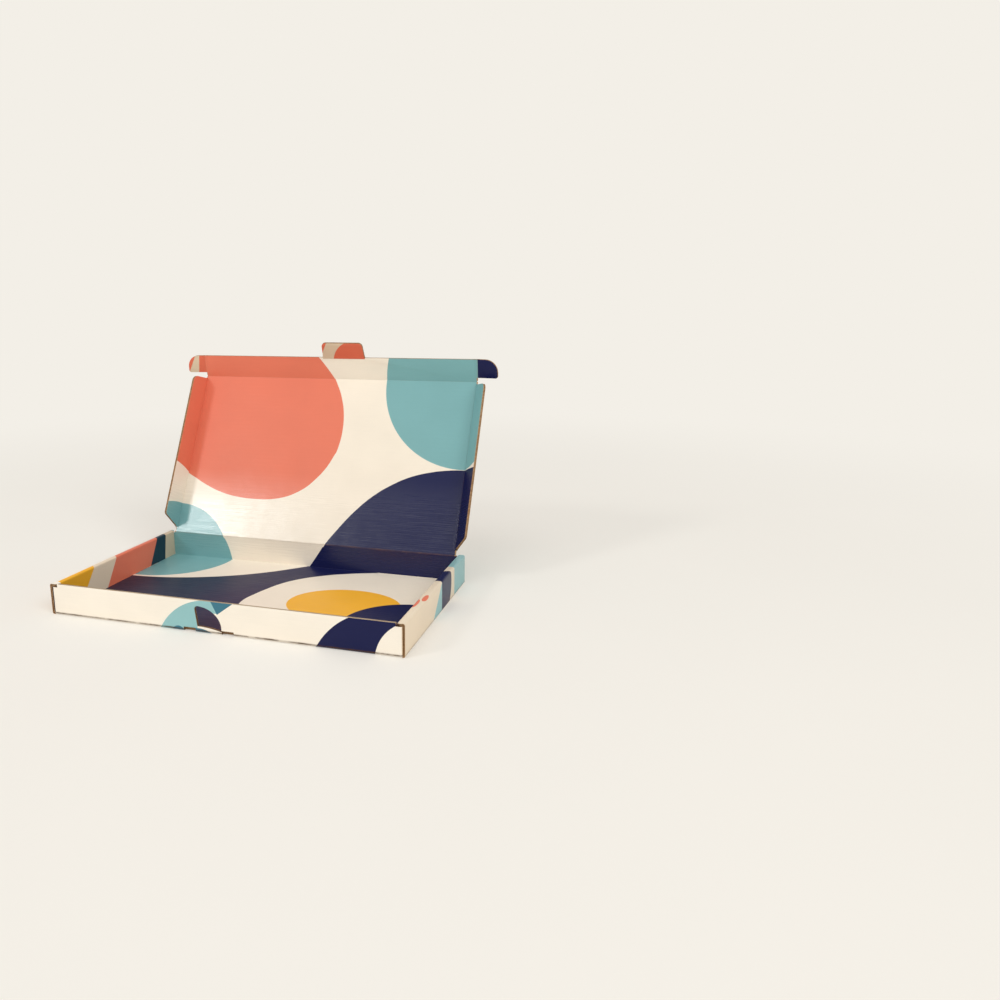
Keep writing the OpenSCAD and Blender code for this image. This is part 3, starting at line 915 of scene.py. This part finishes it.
FLAP = [
    (START, FLAP_REAR, 0, EDGE), (PANEL_LEN, FLAP_REAR + 10, 4, EDGE), (PANEL_LEN, FLAP_FRONT - 6, 8, EDGE),
    (START, FLAP_FRONT, 0, FOLD),
]
EAR = [
    (START, EAR_OFF, 0, EDGE), (EAR_LEN, EAR_OFF, 2.5, EDGE), (EAR_LEN, PANEL_LEN, 14, EDGE),
    (START, PANEL_LEN, 0, FOLD),
]
for side, word, flap_fold in ((-1, "left", LEFT_FOLD), (1, "right", RIGHT_FOLD)):
    name = f"{word}_flap_board"
    side_piece(name, f"{word}_flap", side, HINGE, LID_U, LID_N, flap_fold, FLAP, 0.0)
for side, word in ((-1, "left"), (1, "right")):
    name = f"{word}_ear_board"
    side_piece(name, f"{word}_ear", side, FRONT_P, FRONT_D, FRONT_N, EAR_FOLD, EAR, LID_LEN)

tab = Board()
shape = outline([
    (-TAB_W / 2, START, 0, FOLD), (TAB_W / 2, START, 0, EDGE), (TAB_W / 2 - 1, TAB_LEN, 4.5, EDGE),
    (-TAB_W / 2 + 1, TAB_LEN, 4.5, EDGE),
])
plate(tab, shape, TAB_P, X, TAB_D, TAB_N, lambda a, b: (a + HALF_W + TAB_X, TAB_V + b), groove=FRONT_GROOVE)
panel("tab_board", "lock_tab", tab)


# Creases -------------------------------------------------------------------


def crease_ribbons(name, ends, parent, child, sheet, uv_dir, reach=0.0):
    """Liners that run over a crease, inside and outside, turning with the panels on it.

    parent and child give each panel's direction away from the crease and its inner normal, and sheet gives
    the crease's two ends on the unfolded sheet.
    """
    (start, end), (uv_start, uv_end) = ends, sheet
    (parent_dir, parent_n), (child_dir, child_n) = parent, child
    # a ribbon lies just above the liners it joins, and its ends are tucked into them
    above, below, tuck = H + 0.03, H - 0.1, 0.6
    wide = START + 0.9
    far = wide + reach
    meet = (parent_n + child_n) * H / (1 + float(parent_n @ child_n))
    near = min(wide, float(np.linalg.norm(meet - parent_n * H)) + 0.12)

    def lie(panel_frame, s, height):
        return panel_frame[0] * s + panel_frame[1] * height

    valley = [(-wide - tuck, lie(parent, wide + tuck, below)), (-wide, lie(parent, wide, above))]
    if wide - near > 0.5:
        valley += [(-at, lie(parent, at, above)) for at in (wide - 0.1, near + 0.1)]
    a, c = lie(parent, near, H), lie(child, near, H)
    for i in range(7):
        t = i / 6
        bent = a * (1 - t) ** 2 + meet * 2 * t * (1 - t) + c * t**2
        valley.append((near * (2 * t - 1), bent + (parent_n + child_n) / 2 * (above - H)))
    if far - near > 0.5:
        valley += [(at, lie(child, at, above)) for at in (near + 0.1, far - 0.1)]
    valley += [(far, lie(child, far, above)), (far + tuck, lie(child, far + tuck, below))]

    ridge = [(-wide - tuck, lie(parent, wide + tuck, -below)), (-wide, lie(parent, wide, -above))]
    turn = math.acos(max(-1.0, min(1.0, float(parent_n @ child_n))))
    for i in range(9):
        t = i / 8
        n = parent_n
        if turn >= 1e-4:
            n = (parent_n * math.sin((1 - t) * turn) + child_n * math.sin(t * turn)) / math.sin(turn)
        ridge.append((-0.8 + 1.6 * t, -n * above))
    ridge += [(wide, lie(child, wide, -above)), (wide + tuck, lie(child, wide + tuck, -below))]

    steps = 24 if np.linalg.norm(end - start) > 60 else 6
    for label, path, kind in (("inner", valley, INSIDE), ("outer", ridge, OUTSIDE)):
        board = Board()
        rows = []
        for s, p in path:
            row = []
            for i in range(steps + 1):
                t = i / steps
                uv = [uv_start[k] + (uv_end[k] - uv_start[k]) * t + uv_dir[k] * s for k in (0, 1)]
                row.append((start + (end - start) * t + p, uv))
            rows.append(row)
        for r0, r1 in zip(rows, rows[1:]):
            board.strip(r0, r1, kind)
        obj = add(f"{name}_{label}", board.mesh(name, solid=False))
        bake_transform(obj)


crease_ribbons("hinge_crease", (HINGE - X * 164.6, HINGE + X * 164.6),
               (vec(0, 0, -1), vec(0, -1, 0)), (LID_U, LID_N), ((10.4, 0), (339.6, 0)), (0, 1))
crease_ribbons("front_crease",
               (crease - X * LID_HALF, crease + X * LID_HALF), (-LID_U, LID_N), (FRONT_D, FRONT_N),
               ((LID_LEFT, LID_LEN), (LID_RIGHT, LID_LEN)), (0, 1))
crease_ribbons("tab_crease",
               (TAB_P - X * TAB_W / 2, TAB_P + X * TAB_W / 2), (-FRONT_D, FRONT_N), (TAB_D, TAB_N),
               ((TAB_LEFT, TAB_V), (TAB_RIGHT, TAB_V)), (0, 1))
for side, word, fold in ((-1, "left", LEFT_FOLD), (1, "right", RIGHT_FOLD)):
    edge, x = HINGE + side * LID_HALF * X, HALF_W + side * LID_HALF
    crease_ribbons(f"{word}_flap_crease",
                   (edge + LID_U * FLAP_REAR, edge + LID_U * FLAP_FRONT), (-side * X, LID_N),
                   side_frame(side, fold, LID_N), ((x, FLAP_REAR), (x, FLAP_FRONT)), (side, 0), reach=MITRE)
    edge = FRONT_P + side * LID_HALF * X
    crease_ribbons(f"{word}_ear_crease",
                   (edge + FRONT_D * EAR_OFF, edge + FRONT_D * PANEL_LEN), (-side * X, FRONT_N),
                   side_frame(side, EAR_FOLD, FRONT_N), ((x, LID_LEN + EAR_OFF), (x, LID_LEN + PANEL_LEN)),
                   (side, 0), reach=MITRE)


# Floor, light and camera ---------------------------------------------------

BACKGROUND = srgb(243, 239, 231)
g = Graph("studio_floor")
where = g.node("ShaderNodeTexCoord").outputs["Object"]
cloudy = g.ramp(g.noise(where, 3.0, 3.0), 0.3, 0.7)
g.put(g.shader.inputs["Base Color"], g.mix(cloudy, srgb(250, 246, 238), srgb(252, 248, 240)))
g.put(g.shader.inputs["Roughness"], g.ramp(g.noise(where, 90.0, 3.0), 0.3, 0.7, 0.7, 0.8))
g.shader.inputs["Specular IOR Level"].default_value = 0.2
# far from the box the floor runs into the plain background
reach = g.node("ShaderNodeVectorMath", {"operation": "LENGTH"}, {0: where}).outputs["Value"]
fade = {"Value": reach, "From Min": 0.45, "From Max": 1.5, "To Min": 0.3}
far = g.node("ShaderNodeMapRange", {"interpolation_type": "SMOOTHSTEP"}, fade).outputs[0]
seen = g.node("ShaderNodeLightPath").outputs["Is Camera Ray"]
plain = g.node("ShaderNodeEmission", None, {"Color": BACKGROUND, "Strength": 1.0}).outputs[0]
veil = g.math("MULTIPLY", far, seen)
blend = g.node("ShaderNodeMixShader", None, {0: veil, 1: g.shader.outputs[0], 2: plain})
out = next(n for n in g.tree.nodes if n.type == "OUTPUT_MATERIAL")
g.put(out.inputs["Surface"], blend.outputs[0])
bm = bmesh.new()
bmesh.ops.create_grid(bm, x_segments=8, y_segments=8, size=12.0)
for v in bm.verts:
    v.co.z = -0.0003
mesh = bpy.data.meshes.new("studio_floor")
bm.to_mesh(mesh)
bm.free()
mesh.materials.append(g.material)
add("studio_floor", mesh)


def area(name, place, target, size, power, colour):
    """A round soft lamp that looks at the target; place and size in metres, power in watts."""
    data = bpy.data.lights.new(name, "AREA")
    data.shape, data.size, data.energy, data.color = "DISK", size, power, colour
    lamp = bpy.data.objects.new(name, data)
    bpy.context.scene.collection.objects.link(lamp)
    lamp.location = place
    lamp.rotation_euler = (Vector(target) - Vector(place)).to_track_quat("-Z", "Y").to_euler()


area("key", (-0.9, -3.0, 5.8), (0, 0, 0.05), 3.8, 66.0, (1.0, 0.99, 0.975))
area("window", (-3.55, -4.05, 3.5), (0, 0, 0.05), 1.2, 67.0, (1.0, 0.995, 0.985))
area("fill", (3.6, -2.2, 3.4), (0, 0, 0.08), 2.6, 80.0, (0.99, 0.995, 1.0))

world = bpy.data.worlds.new("studio")
bpy.context.scene.world = world
world.use_nodes = True
nodes, links = world.node_tree.nodes, world.node_tree.links
lit = nodes["Background"]
lit.inputs["Color"].default_value = srgb(250, 248, 245)
lit.inputs["Strength"].default_value = 0.56
shown = nodes.new("ShaderNodeBackground")
shown.inputs["Color"].default_value = BACKGROUND
pick = nodes.new("ShaderNodeMixShader")
links.new(nodes.new("ShaderNodeLightPath").outputs["Is Camera Ray"], pick.inputs[0])
links.new(lit.outputs[0], pick.inputs[1])
links.new(shown.outputs[0], pick.inputs[2])
links.new(pick.outputs[0], next(n for n in nodes if n.type == "OUTPUT_WORLD").inputs["Surface"])

# the camera that was fitted to the photo
data = bpy.data.cameras.new("camera")
data.sensor_width, data.lens, data.shift_x = 36.0, 30.95, 0.1
data.clip_start, data.clip_end = 0.01, 50.0
camera = bpy.data.objects.new("camera", data)
bpy.context.scene.collection.objects.link(camera)
camera.location = (0.37859, -0.72443, 0.28860)
camera.rotation_euler = Euler([math.radians(a) for a in (76.72, 0.47, 18.23)], "XYZ")
bpy.context.scene.camera = camera
bpy.context.scene.view_settings.view_transform = "Standard"
